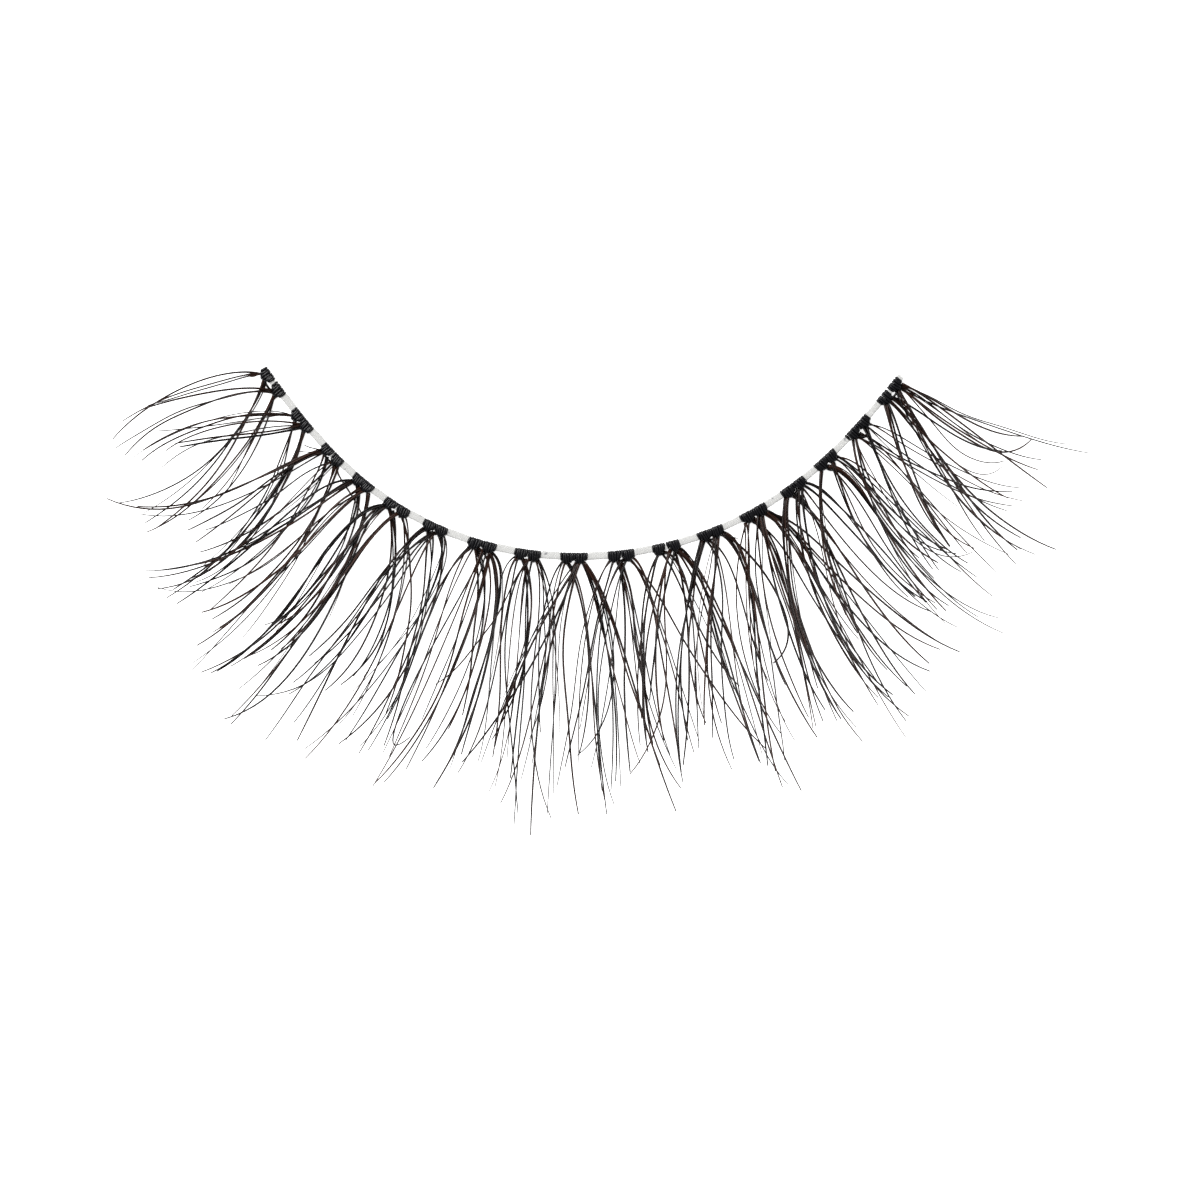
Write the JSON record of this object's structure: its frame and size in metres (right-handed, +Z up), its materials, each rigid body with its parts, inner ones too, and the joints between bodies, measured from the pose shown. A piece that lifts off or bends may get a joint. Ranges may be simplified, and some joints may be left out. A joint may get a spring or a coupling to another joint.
{
  "type": "false eyelash strip",
  "caption": "Strip of false eyelashes: wispy criss-crossed dark hairs knotted in pairs of fans along a thin clear band bent to an eyelid's curve.",
  "frame": {"origin": "on the table, under the lowest point of the band's inner edge, which is the middle of the U", "axes": "+X towards the strip's right end, +Y towards the open side of the U (the hairs point to -Y), +Z up from the table on which the strip lies"},
  "size_m": [0.0424, 0.0203, 0.0038],
  "materials": {
    "clear_filament": "clear nylon filament",
    "black_thread": "knotted thread",
    "lash_hair": "silky synthetic fibre"
  },
  "bodies": {
    "root": {"band": "clear_filament", "knot_01": "black_thread", "knot_02": "black_thread", "knot_03": "black_thread", "knot_04": "black_thread", "knot_05": "black_thread", "knot_06": "black_thread", "knot_07": "black_thread", "knot_08": "black_thread", "knot_09": "black_thread", "knot_10": "black_thread", "knot_11": "black_thread", "knot_12": "black_thread", "knot_13": "black_thread", "knot_14": "black_thread", "knot_15": "black_thread", "knot_16": "black_thread", "knot_17": "black_thread", "knot_18": "black_thread", "knot_19": "black_thread", "knot_20": "black_thread", "knot_21": "black_thread", "knot_22": "black_thread", "knot_23": "black_thread", "knot_24": "black_thread", "knot_25": "black_thread", "knot_26": "black_thread", "knot_27": "black_thread", "knot_28": "black_thread", "knot_29": "black_thread", "knot_30": "black_thread", "knot_31": "black_thread", "knot_32": "black_thread", "knot_33": "black_thread", "knot_34": "black_thread", "lashes_01": "lash_hair", "lashes_02": "lash_hair", "lashes_03": "lash_hair", "lashes_04": "lash_hair", "lashes_05": "lash_hair", "lashes_06": "lash_hair", "lashes_07": "lash_hair", "lashes_08": "lash_hair", "lashes_09": "lash_hair", "lashes_10": "lash_hair", "lashes_11": "lash_hair", "lashes_12": "lash_hair", "lashes_13": "lash_hair", "lashes_14": "lash_hair", "lashes_15": "lash_hair", "lashes_16": "lash_hair", "lashes_17": "lash_hair"}
  },
  "joints": []
}
